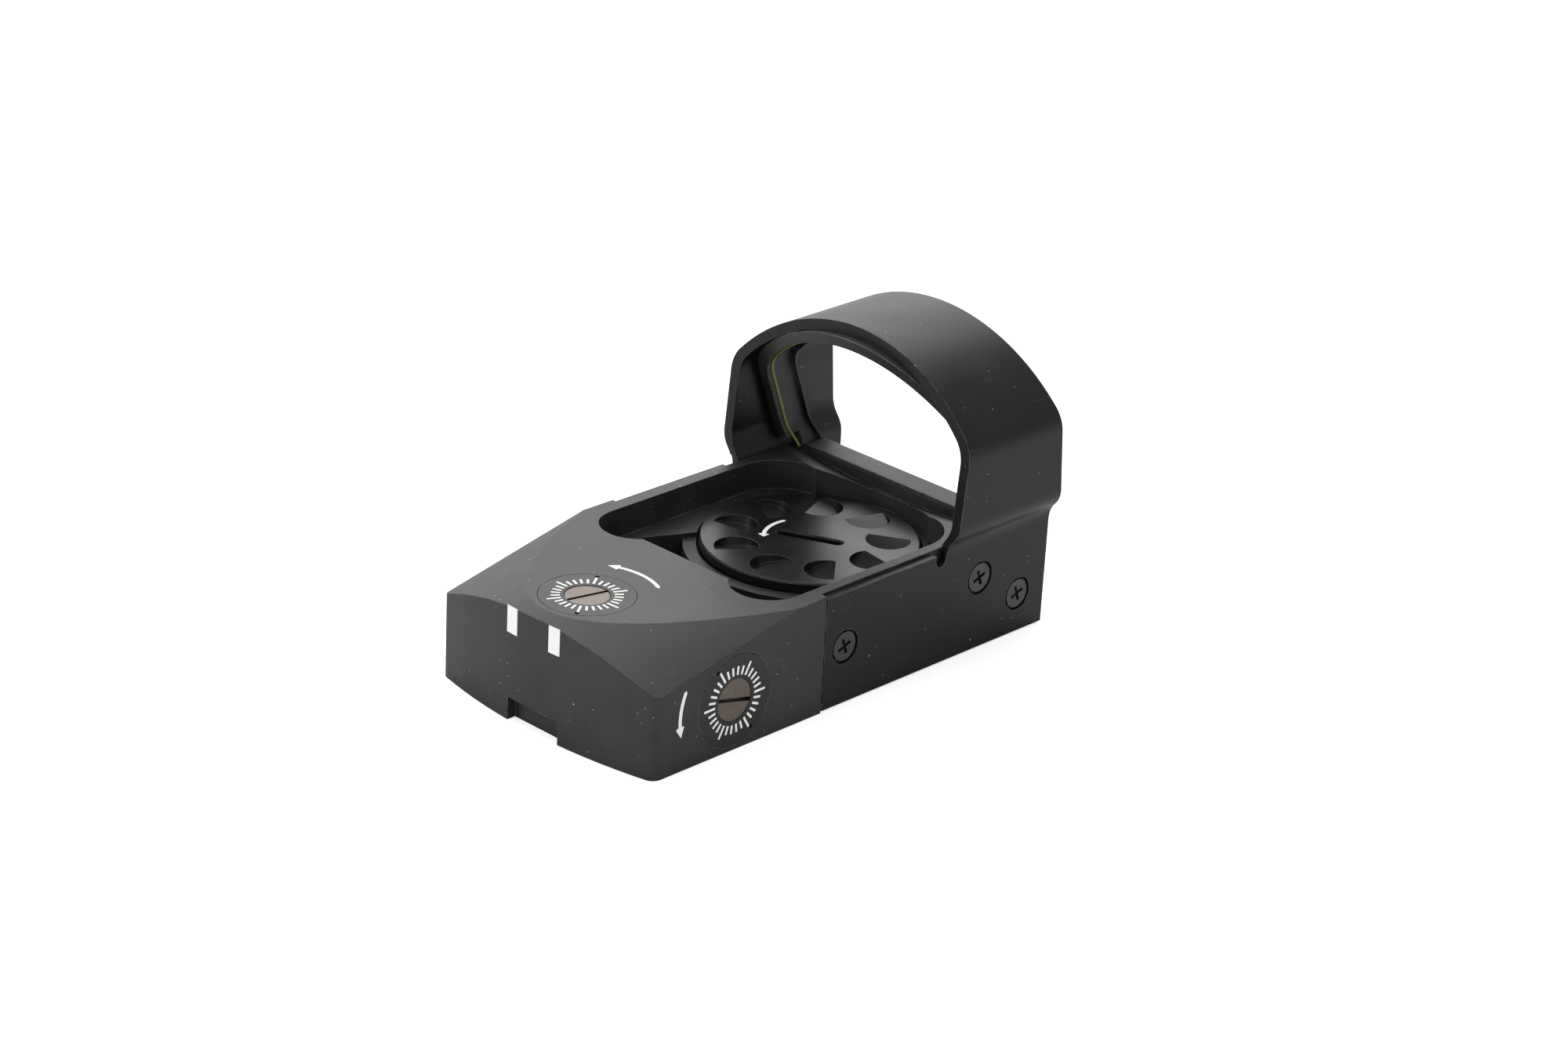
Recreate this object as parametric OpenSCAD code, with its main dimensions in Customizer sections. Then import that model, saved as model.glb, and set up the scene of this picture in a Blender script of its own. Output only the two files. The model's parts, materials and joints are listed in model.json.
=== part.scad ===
// Open reflex sight with a top-loading coin cell, two slotted adjusters and a
// separate hood that saddles over the chassis.
// Frame: +X right, +Y forward (towards the lens), +Z up; the origin is on the
// underside, in the middle of the length and width. All sizes in millimetres.

/* [Chassis] */
// Length from the crest of the rear face to the front face
total_l = 48.3; // [46:0.1:52]
// Width across the flat sides
body_w = 25.5; // [25:0.1:28]
// Height of the flat top
deck_z = 10.6; // [10.4:0.1:11.4]
// How far the rear face bulges between its corners
rear_bulge = 1.55; // [0.8:0.05:2]
// Radius of the upright rear corners
corner_r = 1; // [0.5:0.1:1.6]
// Crest of the rear face to where the sloping crown meets the flat top
crown_setback = 1.25; // [1:0.05:1.6]
// Slope of the crown towards the rear, in degrees
crown_tilt = 11.9; // [8:0.1:14]
// Radius of the crown across the width
crown_r = 26.4; // [24:0.2:40]
// Width of the notch under the rear face
notch_w = 6; // [4:0.5:8]
// Height of the notch under the rear face
notch_h = 2.1; // [1.4:0.1:2.6]
// Depth of the notch under the rear face
notch_depth = 0.95; // [0.6:0.05:1.4]

/* [Well] */
// Width of the rails beside the well, with the shroud's ledge
rail_w = 1.7; // [1.5:0.05:1.9]
// Height of the well floor
floor_z = 7.9; // [7.6:0.1:8.1]
// Rear face of the emitter housing wall, from the crest of the rear face
housing_y = 16.9; // [16.6:0.1:17.2]
// Radius of the two screw pockets at the back of the well
pocket_r = 3.25; // [3:0.05:3.3]
// Height of the seat for the mounting screw heads
pocket_z = 4.2; // [3.6:0.1:4.8]
// Radius of the well's front corners
well_corner_r = 4.5; // [3:0.1:5]
// Radius of the well around the battery cap
well_bay_r = 10.15; // [10.05:0.05:10.2]
// Height of the battery boss at the back of the well
boss_z = 7.4; // [7.1:0.1:7.6]
// Radius of the battery boss at the back of the well
boss_r = 10.9; // [10.5:0.1:11]
// Slope of the deck in front of the well, in degrees
ramp_tilt = 19; // [14:0.5:21]
// Radius of that deck's hollow across the width
ramp_r = 90; // [60:5:150]
// Length of that slope, up to the lens sill
ramp_l = 4.25; // [3.6:0.05:4.8]

/* [Mounting] */
// Crest of the rear face to the mounting screws
mount_y = 18.75; // [18.6:0.05:19]
// Radius of the mounting screw holes
mount_hole_r = 1.6; // [1.3:0.05:1.7]
// Locating holes' distance from the sides
pin_edge = 2.05; // [1.95:0.05:2.15]
// Rear locating holes' distance from the crest of the rear face
pin_rear = 5.5; // [5:0.1:6]
// Front locating holes' distance from the front face
pin_front = 11.2; // [10.8:0.1:12]
// Radius of the locating holes
pin_hole_r = 0.8; // [0.6:0.05:0.85]
// Depth of the locating holes
pin_hole_depth = 1.6; // [1.2:0.1:2]

/* [Hood] */
// Crest of the rear face to the rear end of the shroud walls
split_y = 20.6; // [20.2:0.1:21.4]
// Thickness of the shroud walls beside the chassis
shroud_t = 0.7; // [0.65:0.05:0.8]
// Width of the fine groove between the rear block and the shroud
split_gap = 0.12; // [0.06:0.02:0.2]
// Gap under the shroud
shroud_lift = 0.15; // [0.1:0.05:0.3]
// Height of the ledge on top of the shroud walls
ledge_z = 10.35; // [10.1:0.05:10.5]
// Overall width of the hood
hood_w = 28.1; // [27.6:0.1:29]
// Overall height of the hood
hood_top = 26.55; // [26:0.05:28]
// Radius of the hood's arch
arch_r = 17.9; // [17:0.1:20]
// Radius where the arch meets the sides
shoulder_r = 3; // [2.5:0.1:4]
// Height where the flare starts
flare_z = 9.9; // [9.6:0.1:10.2]
// Height of the flare
flare_h = 3.2; // [2.4:0.1:4]
// Wall thickness of the hood
hood_t = 0.95; // [0.8:0.05:1.1]
// Length of the hood along the flat top
hood_l = 13.35; // [12.6:0.05:13.8]
// Forward lean of the rear rim, in degrees
rear_rake = 5.2; // [2:0.1:7]
// Rearward lean of the front face, in degrees
front_rake = 4.9; // [2:0.1:7]
// Height of the hollowed sill under the front of the window
sill_z = 7.7; // [7.4:0.1:8.2]
// Slope of that sill, in degrees
sill_tilt = 34; // [25:1:36]
// Radius of that sill's hollow across the width
sill_r = 62; // [50:2:90]
// Depth of the milled notches where the ledges meet the hood
notch_drop = 1.1; // [0.6:0.1:1.4]
// Radius of those notches
ledge_notch_r = 0.6; // [0.4:0.05:0.7]

/* [Lens] */
// Tilt of the lens: its top leans to the rear, in degrees
lens_tilt = 20.8; // [16:0.1:22]
// Front face to the middle of the lens's lower edge
lens_foot_y = 5.15; // [5:0.05:5.4]
// Thickness of the whole lens
lens_t = 2.6; // [2.2:0.1:2.8]
// Radius of the cemented surface inside the lens
lens_curve_r = 62; // [58:1:90]
// Thickness of the rear element in the middle
lens_rear_t = 1.8; // [1.7:0.05:1.9]
// Height of the sill that carries the lens
lens_sill_z = 10.6; // [10.4:0.1:10.8]
// Width of the lens frame's rim beside the glass
frame_lip = 1.1; // [0.9:0.05:1.2]
// How far the lens sits under that rim
lens_cover = 0.4; // [0.3:0.05:0.5]
// Depth of the rim behind the glass
lip_depth = 0.8; // [0.5:0.05:1]

/* [Battery] */
// Share of the free room in the well that lies behind the battery cap
cap_share = 0.854; // [0.8:0.002:0.9]
// Radius of the battery cap
cap_r = 9.55; // [9.45:0.05:9.6]
// Height of the top of the battery cap
cap_top = 8.3; // [8.1:0.05:8.5]
// Thickness of the cap's flange
cap_flange_t = 1.5; // [1.3:0.05:1.6]
// Radius of the threaded battery bore
bore_r = 9; // [8.95:0.05:9.1]
// Radius of the coin cell
cell_r = 8; // [7.9:0.05:8]
// Thickness of the coin cell
cell_t = 3.2; // [2.5:0.1:3.2]
// Wall of the cap's threaded skirt
skirt_t = 0.7; // [0.5:0.05:0.75]
// Height of the cap's threaded skirt
skirt_h = 2.6; // [2:0.1:2.8]
// Length of the coin slot
slot_l = 6; // [4:0.1:8]
// Width of the coin slot
slot_w = 1.05; // [0.8:0.05:1.4]
// Depth of the coin slot
slot_depth = 0.8; // [0.5:0.05:0.9]
// Angle of the coin slot from the X axis
slot_angle = 25; // [0:1:90]
// Number of finger scallops round the cap
scallops = 9; // [6:1:10]
// Radius of the cutter that mills each scallop
scallop_r = 1.95; // [1.4:0.05:2.1]
// Distance of the scallops from the middle of the cap
scallop_place = 6.5; // [6:0.1:6.8]
// Slope of the scallops' ramps, in degrees
scallop_tilt = 17; // [10:1:22]
// Depth of the scallops under their steep wall
scallop_depth = 0.75; // [0.4:0.05:0.9]

/* [Adjusters] */
// Crest of the rear face to the elevation screw
elev_y = 5.8; // [5.7:0.05:6]
// Crest of the rear face to the windage screw
wind_y = 10.35; // [10.2:0.05:10.6]
// Height of the windage screw
wind_z = 4.5; // [4.4:0.05:4.55]
// Radius of the dial rings
dial_r = 4.03; // [3.9:0.05:4.1]
// Thickness of the dial rings
dial_t = 1.2; // [1:0.05:1.3]
// Radius of the slotted screw heads
head_r = 1.86; // [1.6:0.02:1.9]
// Width of the slots in the screw heads
head_slot_w = 0.35; // [0.25:0.05:0.5]
// Depth of the slots in the screw heads
head_slot_depth = 0.6; // [0.4:0.05:0.8]
// Radius of the click flange behind each dial ring
flange_r = 2.9; // [2.8:0.05:2.95]
// Thickness of the click flange
flange_t = 0.8; // [0.7:0.05:0.85]
// Number of clicks in a turn
clicks = 30; // [24:1:40]
// Radius of the screws' necks
neck_r = 1.2; // [1:0.05:1.25]
// Radius of the adjusting threads
thread_r = 0.7; // [0.6:0.05:0.7]
// Radius of the click balls
ball_r = 0.5; // [0.4:0.05:0.5]

/* [Controls] */
// Radius of the power button
button_r = 3; // [2.6:0.05:3.1]
// Height of the power button's middle
button_z = 5.3; // [5.2:0.05:5.4]
// How far the power button stands out
button_proud = 0.3; // [0.1:0.05:0.5]
// Travel of the power button
button_travel = 0.5; // [0.3:0.05:0.5]

/* [Electronics] */
// Thickness of the bottom cover
cover_t = 0.75; // [0.65:0.05:0.8]
// Depth of the cover's seat in the underside
cover_seat = 0.8; // [0.75:0.05:0.85]
// Thickness of the circuit board
board_t = 0.6; // [0.5:0.05:0.6]
// Height of the board's upper face
board_z = 1.8; // [1.75:0.05:1.85]
// Height of the web between the board and the battery
web_z = 2.3; // [2.25:0.05:2.35]

/* [Fits] */
// Gap between parts that slide or turn on each other
run_gap = 0.03; // [0.02:0.005:0.05]
// Gap between parts that are assembled and then stay put
seat_gap = 0.05; // [0.03:0.01:0.08]

/* [Hidden] */
$fn = 72;
eps = 0.01;
big = 100;

// Main planes, measured from the origin
rear = -total_l / 2;
front = total_l / 2;
half_w = body_w / 2;
well_w = body_w - 2 * rail_w;
mount_spacing = well_w - 2 * pocket_r;
pin_hole_dx = body_w - 2 * pin_edge;
inner_half_w = half_w - shroud_t - seat_gap;
split = rear + split_y;
chassis_front = front - shroud_t - seat_gap;
rear_face_r = (half_w * half_w + rear_bulge * rear_bulge) / (2 * rear_bulge);

// Well, battery and ramp
housing_front = rear + housing_y;
mount_line = rear + mount_y;
lens_line = front - lens_foot_y;
lens_seat = 0.6;
lens_foot_gap = 0.02;
sill_front_l = 1.75;
sill_rear = lens_line - lens_seat;
sill_front = lens_line + sill_front_l;
ramp_line = sill_rear - ramp_l;
cap_recess_r = cap_r + 0.2;
cap_room = sill_rear - housing_front - 2 * cap_recess_r;
cap_line = housing_front + cap_recess_r + cap_share * cap_room;
first_scallop = 6;
slot_bevel = 0.12;
cap_under = cap_top - cap_flange_t;
recess_z = cap_under - 0.25;
cup_t = 0.4;
cell_z = web_z + cup_t;
cell_top = cell_z + cell_t;

// Adjusters
elev_line = rear + elev_y;
wind_line = rear + wind_y;
head_drop = 0.05;
head_h = dial_t + 0.1 - head_drop;
flange_gap = 0.04;
seal_recess_r = neck_r + 0.7;
seal_recess_h = 0.7;
seal_r = 0.33;
ball_pocket_r = ball_r + 0.05;
ball_pocket_l = 1.9;
stack_h = head_drop + head_h;

// Adjuster chamber and what moves in it
chamber_wall = 5.15;
chamber_w = body_w - 2 * chamber_wall;
elev_neck_l = 1.2;
elev_thread_l = 3.9;
wind_neck_l = chamber_wall - stack_h - flange_t + 0.05;
wind_thread_l = chamber_w - 1.2;
chamber_rear = rear + 3.15;
chamber_front = rear + 14.75;
chamber_top = 7.5;
nose_room_w = 4.4;
nose_room_rear = rear + 11.8;
nose_room_front = rear + 15.95;
nose_room_top = 10.02;
slider_w = 6;
slider_rear = wind_line - 2.6;
slider_mid = wind_line + 1.85;
slider_front = chamber_front - 0.2;
slider_low = 2;
slider_top = 5.5;
guide_y = wind_line - 1.75;
guide_z = 2.94;
guide_r = 0.65;
mast_w = 2.8;
mast_low = 2.95;
mast_top = 9.38;
nose_front = nose_room_front - 0.6;
arm_low = 6.1;
arm_t = 0.8;
arm_half_w = 2.6;
elev_slot_turn = -13.5;
wind_slot_turn = 76.5;
spring_line = elev_line + 4.1;
spring_top = 9.1;
lift_spring_r = 0.85;
nut_w = 3.4;
nut_t = 1.5;
led_z = 9;
window_w = 3.2;
window_h = 1.9;
window_t = 0.4;

// Hood sections
hood_half_w = hood_w / 2;
arch_cz = hood_top - arch_r;
hood_inner_low = half_w - shroud_t;
hood_rear = front - hood_l;
sill_low_y = front - 1.25;
ledge_notch_y = hood_rear - 0.45;
ledge_corner = [well_w / 2 - 0.55, mount_line + 1.1];
ledge_tip = [cap_r - 1.95, cap_line - cap_recess_r + 3.6];

// Shroud screws: [place along the length, height]
shroud_screw_spots = [[split + 2.55, 5.35], [front - 8.6, 6.75], [front - 3.45, 3.75]];
shroud_head_r = 1.3;
shroud_head_t = 0.36;
shroud_thread_r = 0.7;
shroud_thread_l = 2.8;
shroud_pocket_r = 1.55;
shroud_pocket_depth = 0.42;

// Bottom cover screws: [distance from the middle, place along the length]
cover_screw_spots = [[8.4, cap_line + 7.9], [chamber_w / 2 + 0.8, rear + 4.8]];
cover_half_w = 9.4;
cover_rear_half_w = chamber_w / 2 + 1.9;
cover_neck_half_w = 4.9;
cover_front_end = cap_line + 9.9;
cover_mid_front = cap_line - 9.6;
cover_mid_rear = mount_line - 3.3;
cover_rear_end = chamber_rear - 1.1;
board_r = 8.8;
board_neck_half_w = 3.9;
board_rear_half_w = chamber_w / 2 - 0.15;

// Power button
button_line = wind_line;
button_flange_r = button_r + 0.35;
button_face_t = 1.6;
button_flange_t = 0.55;
button_lip = 1.35;
switch_plunger_r = 0.8;
switch_t = 1.5;
switch_w = 3;
switch_room = 1.7;
switch_board_t = 0.5;

// Chips on the board
chip_w = 3;
chip_t = 0.4;
capacitor = [0.8, 1.6, 0.4];
resistor = [1, 0.6, 0.35];

// A box from low corner to high corner
module span(low, high) translate(low) cube(high - low);

// Children turned so that their +Z points along +X, centred on the given line
module along_x(x, y, z) translate([x, y, z]) rotate([0, 90, 0]) children();

// Children's 2D outline (X across, Y up) carried along +Y from y0 to y1
module carry_y(y0, y1) translate([0, y1, 0]) rotate([90, 0, 0]) linear_extrude(y1 - y0) children();

// Children's 2D outline (X along +Y, Y up) carried across X, centred
module carry_x(w) translate([-w / 2, 0, 0]) rotate([90, 0, 90]) linear_extrude(w) children();

// Children and their mirror image across the middle plane
module both_sides() {
    children();
    mirror([1, 0, 0]) children();
}

// A rectangle with true round corners
module round_rect(low, high, r) {
    translate([low[0] + r, low[1]]) square([high[0] - low[0] - 2 * r, high[1] - low[1]]);
    translate([low[0], low[1] + r]) square([high[0] - low[0], high[1] - low[1] - 2 * r]);
    for (x = [low[0] + r, high[0] - r], y = [low[1] + r, high[1] - r]) translate([x, y]) circle(r);
}

// A torus about the Z axis
module ring(major, minor) rotate_extrude() translate([major, 0]) circle(minor, $fn = 24);

// ---- Chassis ----

// Outline seen from above, with the bulged rear face and round rear corners
module rear_plan() {
    corner_x = half_w - corner_r;
    arc_y = rear + rear_face_r;
    corner_y = arc_y - sqrt(pow(rear_face_r - corner_r, 2) - corner_x * corner_x);
    touch = [corner_x, corner_y - arc_y] * (rear_face_r / (rear_face_r - corner_r));
    difference() {
        intersection() {
            translate([-half_w, rear]) square([body_w, split - rear]);
            translate([0, arc_y]) circle(rear_face_r, $fn = 180);
        }
        for (s = [-1, 1]) difference() {
            polygon([[s * corner_x, corner_y], [s * (half_w + 1), corner_y],
                [s * (half_w + 1), corner_y - 3], [s * touch[0] * 1.02, arc_y + touch[1] * 1.02]]);
            translate([s * corner_x, corner_y]) circle(corner_r);
        }
    }
}

// Everything under the sloping crown: one large leaning cylinder
module crown() {
    translate([0, rear + crown_setback, deck_z]) rotate([crown_tilt, 0, 0])
        translate([0, -big / 2, -crown_r]) rotate([-90, 0, 0]) cylinder(r = crown_r, h = big * 1.5, $fn = 180);
}

// Outline of the open well seen from above
module well_plan() {
    half = well_w / 2;
    translate([-half, mount_line]) square([well_w, cap_line - mount_line]);
    translate([-mount_spacing / 2, housing_front]) square([mount_spacing, cap_line - housing_front]);
    for (s = [-1, 1]) translate([s * mount_spacing / 2, mount_line]) circle(pocket_r);
    round_rect([-half, cap_line - 2 * well_corner_r],
        [half, cap_line + well_bay_r * 0.745], well_corner_r);
    translate([0, cap_line]) circle(well_bay_r, $fn = 144);
}

// The lower part of the well behind the battery, between the two side ledges
module deep_plan() {
    intersection() {
        well_plan();
        union() {
            polygon([[-ledge_corner[0], ledge_corner[1]], ledge_corner, ledge_tip, [-ledge_tip[0], ledge_tip[1]]]);
            translate([-half_w, rear]) square([body_w, ledge_corner[1] - rear]);
        }
    }
}

// Hollow above a sloping, dished surface whose lowest line passes (y, z)
module scoop(y, z, tilt, r) {
    translate([0, y, z]) rotate([-tilt, 0, 0]) translate([0, 0, r]) rotate([90, 0, 0])
        cylinder(r = r, h = big, center = true, $fn = 240);
}

// The sloping deck between the well and the lens
module ramp_cut() {
    intersection() {
        scoop(ramp_line, deck_z, ramp_tilt, ramp_r);
        span([-half_w, ramp_line, 0], [half_w, sill_rear, deck_z + 1]);
    }
}

// The hollowed sill in front of the lens, from y0 forwards
module sill_cut(y0) {
    intersection() {
        scoop(sill_low_y, sill_z, sill_tilt, sill_r);
        span([-half_w, y0, 0], [half_w, front + 1, lens_sill_z + 1]);
    }
}

// Lens frame outline: fits the inside of the hood
module frame_outline() hood_section(hood_t + seat_gap, inner_half_w);

// Side view of a slab parallel to the lens, from back to ahead of its middle
module lens_slab(back, ahead, low, high) {
    lean = tan(lens_tilt);
    carry_x(hood_w) polygon([
        [lens_line + back - (low - lens_sill_z) * lean, low],
        [lens_line + ahead - (low - lens_sill_z) * lean, low],
        [lens_line + ahead - (high - lens_sill_z) * lean, high],
        [lens_line + back - (high - lens_sill_z) * lean, high]]);
}

// Outline of the glass, or of the window that shows it; foot_gap narrows its foot
module glass_outline(inset, foot_gap = 0) {
    intersection() {
        hood_section(hood_t + inset, inner_half_w - inset - foot_gap);
        translate([-hood_half_w, lens_sill_z]) square([hood_w, big]);
    }
}

module lens_frame() {
    difference() {
        intersection() {
            carry_y(rear, front) frame_outline();
            lens_slab(-lens_t / 2 - lip_depth, lens_t / 2 + 0.2, deck_z - 1.2, hood_top);
        }
        carry_y(rear, front) glass_outline(frame_lip);
        intersection() {
            carry_y(rear, front) glass_outline(frame_lip - lens_cover);
            lens_slab(-lens_t / 2, 10, deck_z - 1.2, hood_top);
        }
    }
}

// Recesses behind a dial ring, with the dial's outer face at z = 0 and the shaft downwards
module adjuster_bore(depth) {
    translate([0, 0, -dial_t - flange_gap]) cylinder(r = dial_r + seat_gap, h = dial_t + flange_gap + 1);
    translate([0, 0, -stack_h - flange_t - flange_gap])
        cylinder(r = flange_r + run_gap, h = flange_t + 2 * flange_gap + 0.2);
    translate([0, 0, -stack_h - flange_t - flange_gap - seal_recess_h])
        cylinder(r = seal_recess_r, h = seal_recess_h + eps);
    translate([0, 0, -depth]) cylinder(r = neck_r + run_gap, h = depth - stack_h);
}

// Radial bore for the click ball and its spring, along +X of the adjuster
module ball_bore() {
    translate([flange_r - 0.2, 0, -stack_h - flange_t / 2]) rotate([0, 90, 0])
        cylinder(r = ball_pocket_r, h = ball_pocket_l + 0.2);
}

// Places children on the elevation axis, with the dial face at z = 0
module at_elevation() translate([0, elev_line, deck_z]) rotate([0, 0, -90]) children();

// Places children on the windage axis, with the dial face at z = 0
module at_windage() translate([half_w, wind_line, wind_z]) rotate([0, 90, 0]) rotate([0, 0, 180]) children();

module chamber() {
    span([-chamber_w / 2, chamber_rear, board_z - eps], [chamber_w / 2, chamber_front, chamber_top]);
    span([-nose_room_w / 2, nose_room_rear, arm_low - 0.9], [nose_room_w / 2, nose_room_front, nose_room_top]);
    translate([0, spring_line, chamber_top - eps]) cylinder(r = lift_spring_r + 0.15, h = spring_top - chamber_top + 0.03);
}

module window_seat() {
    span([-window_w / 2 - seat_gap, housing_front - window_t - seat_gap, led_z - window_h / 2 - seat_gap],
        [window_w / 2 + seat_gap, housing_front + 1, led_z + window_h / 2 + seat_gap]);
    span([-window_w / 2 + 0.4, nose_room_front - 1, led_z - window_h / 2 + 0.3],
        [window_w / 2 - 0.4, housing_front, led_z + window_h / 2 - 0.3]);
}

module button_bore() {
    along_x(-half_w - 1, button_line, button_z) cylinder(r = button_r + run_gap, h = 3);
    along_x(-half_w + button_lip, button_line, button_z)
        cylinder(r = button_flange_r + run_gap, h = button_flange_t + button_travel + 0.15);
    span([-half_w + button_lip, button_line - switch_room, button_z - switch_room],
        [-chamber_w / 2 + eps, button_line + switch_room, button_z + switch_room]);
}

// Outline of the board under the battery and the adjusters
module board_plan(grow) {
    translate([0, cap_line]) circle(board_r + grow);
    translate([-board_neck_half_w - grow, chamber_front - 2])
        square([2 * (board_neck_half_w + grow), cap_line - chamber_front]);
    round_rect([-board_rear_half_w - grow, chamber_rear + 0.15 - grow],
        [board_rear_half_w + grow, chamber_front - 0.15 + grow], 0.8);
}

// Outline of the cover that closes the underside
module cover_plan(grow) {
    round_rect([-cover_half_w - grow, cover_mid_front - grow],
        [cover_half_w + grow, cover_front_end + grow], 1.5);
    translate([-cover_neck_half_w - grow, cover_mid_rear - 1])
        square([2 * (cover_neck_half_w + grow), cover_mid_front - cover_mid_rear + 2]);
    round_rect([-cover_rear_half_w - grow, cover_rear_end - grow],
        [cover_rear_half_w + grow, cover_mid_rear + grow], 1.5);
}

// Places children at each cover screw, on the underside
module at_cover_screws() {
    for (spot = cover_screw_spots, s = [-1, 1]) translate([s * spot[0], spot[1], 0]) children();
}

// Places children at each shroud screw of the right side, +Z outwards, z = 0 on the side face
module at_shroud_screws() {
    for (spot = shroud_screw_spots) along_x(half_w, spot[0], spot[1]) children();
}

module base_body() {
    color([0.16, 0.16, 0.17]) difference() {
        union() {
            intersection() {
                union() {
                    linear_extrude(deck_z) rear_plan();
                    span([-inner_half_w, split - 1, 0], [inner_half_w, chassis_front, deck_z]);
                }
                crown();
            }
            span([-inner_half_w, sill_rear, sill_z - 1], [inner_half_w, sill_front, lens_sill_z]);
            lens_frame();
        }
        // open well, its deeper rear part and the battery bore
        translate([0, 0, floor_z]) linear_extrude(deck_z) intersection() {
            well_plan();
            translate([-half_w, rear]) square([body_w, sill_rear - rear]);
        }
        translate([0, 0, boss_z]) linear_extrude(floor_z - boss_z + eps) deep_plan();
        translate([0, 0, pocket_z]) linear_extrude(boss_z - pocket_z + eps) difference() {
            deep_plan();
            translate([0, cap_line]) circle(boss_r, $fn = 144);
        }
        translate([0, cap_line, recess_z]) cylinder(r = cap_recess_r, h = deck_z - recess_z, $fn = 144);
        translate([0, cap_line, web_z]) cylinder(r = bore_r, h = deck_z - web_z, $fn = 144);
        translate([0, cap_line, 0]) cylinder(r = 2, h = deck_z);
        ramp_cut();
        sill_cut(sill_front);
        // adjusters, emitter and button
        at_elevation() {
            adjuster_bore(4);
            ball_bore();
        }
        at_windage() {
            adjuster_bore(chamber_wall + 0.85);
            ball_bore();
        }
        chamber();
        window_seat();
        button_bore();
        both_sides() along_x(chamber_w / 2 - eps, guide_y, guide_z) cylinder(r = guide_r, h = 0.9);
        // mounting
        both_sides() translate([mount_spacing / 2, mount_line, -1]) cylinder(r = mount_hole_r, h = pocket_z + 2);
        both_sides() for (y = [rear + pin_rear, front - pin_front])
            translate([pin_hole_dx / 2, y, -1]) cylinder(r = pin_hole_r, h = pin_hole_depth + 1);
        span([-notch_w / 2, rear - 1, -1], [notch_w / 2, rear + notch_depth, notch_h]);
        // electronics under the floor
        translate([0, 0, -1]) linear_extrude(cover_seat + 1) cover_plan(seat_gap);
        linear_extrude(board_z) board_plan(0.1);
        at_cover_screws() cylinder(r = 0.5, h = 2.6);
        both_sides() at_shroud_screws()
            translate([0, 0, -shroud_t - seat_gap - 2.4]) cylinder(r = shroud_thread_r, h = 2.4 + 2 * seat_gap);
    }
}

// ---- Hood ----

// Arch over straight sides, with true arcs; open downwards to z = low
module hood_arch(half, r, shoulder, low) {
    mid = half - shoulder;
    shoulder_z = arch_cz + sqrt(pow(r - shoulder, 2) - mid * mid);
    touch_x = mid * r / (r - shoulder);
    intersection() {
        translate([0, arch_cz]) circle(r, $fn = 180);
        translate([-touch_x, low]) square([2 * touch_x, big]);
    }
    translate([-half, low]) square([2 * half, shoulder_z - low]);
    for (s = [-1, 1]) translate([s * mid, shoulder_z]) circle(shoulder);
}

// Cross-section of the hood, thinner all round by inset, with straight sides below the flare.
// The flare is two equal arcs that meet halfway, hollow below and round above.
module hood_section(inset, low_half) {
    high_half = hood_half_w - inset;
    step = high_half - low_half;
    r = (step * step + flare_h * flare_h) / (4 * step);
    mid_z = flare_z + flare_h / 2;
    top_z = flare_z + flare_h;
    translate([-low_half, 0]) square([2 * low_half, top_z]);
    difference() {
        translate([-low_half - step / 2, flare_z]) square([2 * low_half + step, flare_h / 2]);
        for (s = [-1, 1]) translate([s * (low_half + r), flare_z]) circle(r, $fn = 120);
    }
    intersection() {
        translate([-high_half, mid_z]) square([2 * high_half, flare_h / 2 + eps]);
        for (s = [-1, 1]) translate([s * (high_half - r), top_z]) circle(r, $fn = 120);
    }
    translate([r - high_half, mid_z]) square([2 * (high_half - r), flare_h / 2]);
    hood_arch(high_half, arch_r - inset, shoulder_r, top_z);
}

// Side view of the shroud: low walls from the split, then the raked hood
module shroud_side() {
    lean_rear = tan(rear_rake);
    lean_front = tan(front_rake);
    foot = hood_rear;
    polygon([[split + split_gap, shroud_lift], [front, shroud_lift], [front, deck_z],
        [front - (hood_top - deck_z) * lean_front, hood_top],
        [foot + (hood_top - deck_z) * lean_rear, hood_top],
        [foot + (ledge_z - deck_z) * lean_rear, ledge_z], [split + split_gap, ledge_z]]);
}

module hood_shroud() {
    color([0.13, 0.13, 0.135]) difference() {
        intersection() {
            carry_y(rear, front) hood_section(0, half_w);
            carry_x(hood_w) shroud_side();
        }
        // room for the chassis, then the window through the hood and its front sill
        translate([0, 0, -1]) carry_y(rear, chassis_front + seat_gap) square([2 * hood_inner_low, 4], center = true);
        carry_y(rear, chassis_front + seat_gap) hood_section(hood_t, hood_inner_low);
        carry_y(rear, front + 1) intersection() {
            hood_section(hood_t, hood_inner_low);
            translate([-hood_half_w, lens_sill_z]) square([hood_w, big]);
        }
        intersection() {
            carry_y(rear, front + 1) hood_section(hood_t, hood_inner_low);
            sill_cut(sill_front);
        }
        both_sides() along_x(hood_inner_low - eps, ledge_notch_y, ledge_z - notch_drop + ledge_notch_r) {
            cylinder(r = ledge_notch_r, h = 2);
            translate([-notch_drop, -ledge_notch_r, 0]) cube([notch_drop, 2 * ledge_notch_r, 2]);
        }
        both_sides() at_shroud_screws() {
            translate([0, 0, -shroud_pocket_depth]) cylinder(r = shroud_pocket_r, h = 2);
            translate([0, 0, -shroud_t - 1]) cylinder(r = shroud_thread_r + seat_gap, h = 2);
        }
    }
}

// ---- Lens ----

// Ball whose surface is the cemented face between the two elements
module cemented_ball() {
    mid_z = (lens_sill_z + hood_top) / 2;
    face = -lens_t / 2 + lens_rear_t;
    translate([0, lens_line - (mid_z - lens_sill_z) * tan(lens_tilt), mid_z])
        rotate([-lens_tilt, 0, 0]) translate([0, face - lens_curve_r, 0]) sphere(lens_curve_r, $fn = 180);
}

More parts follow.
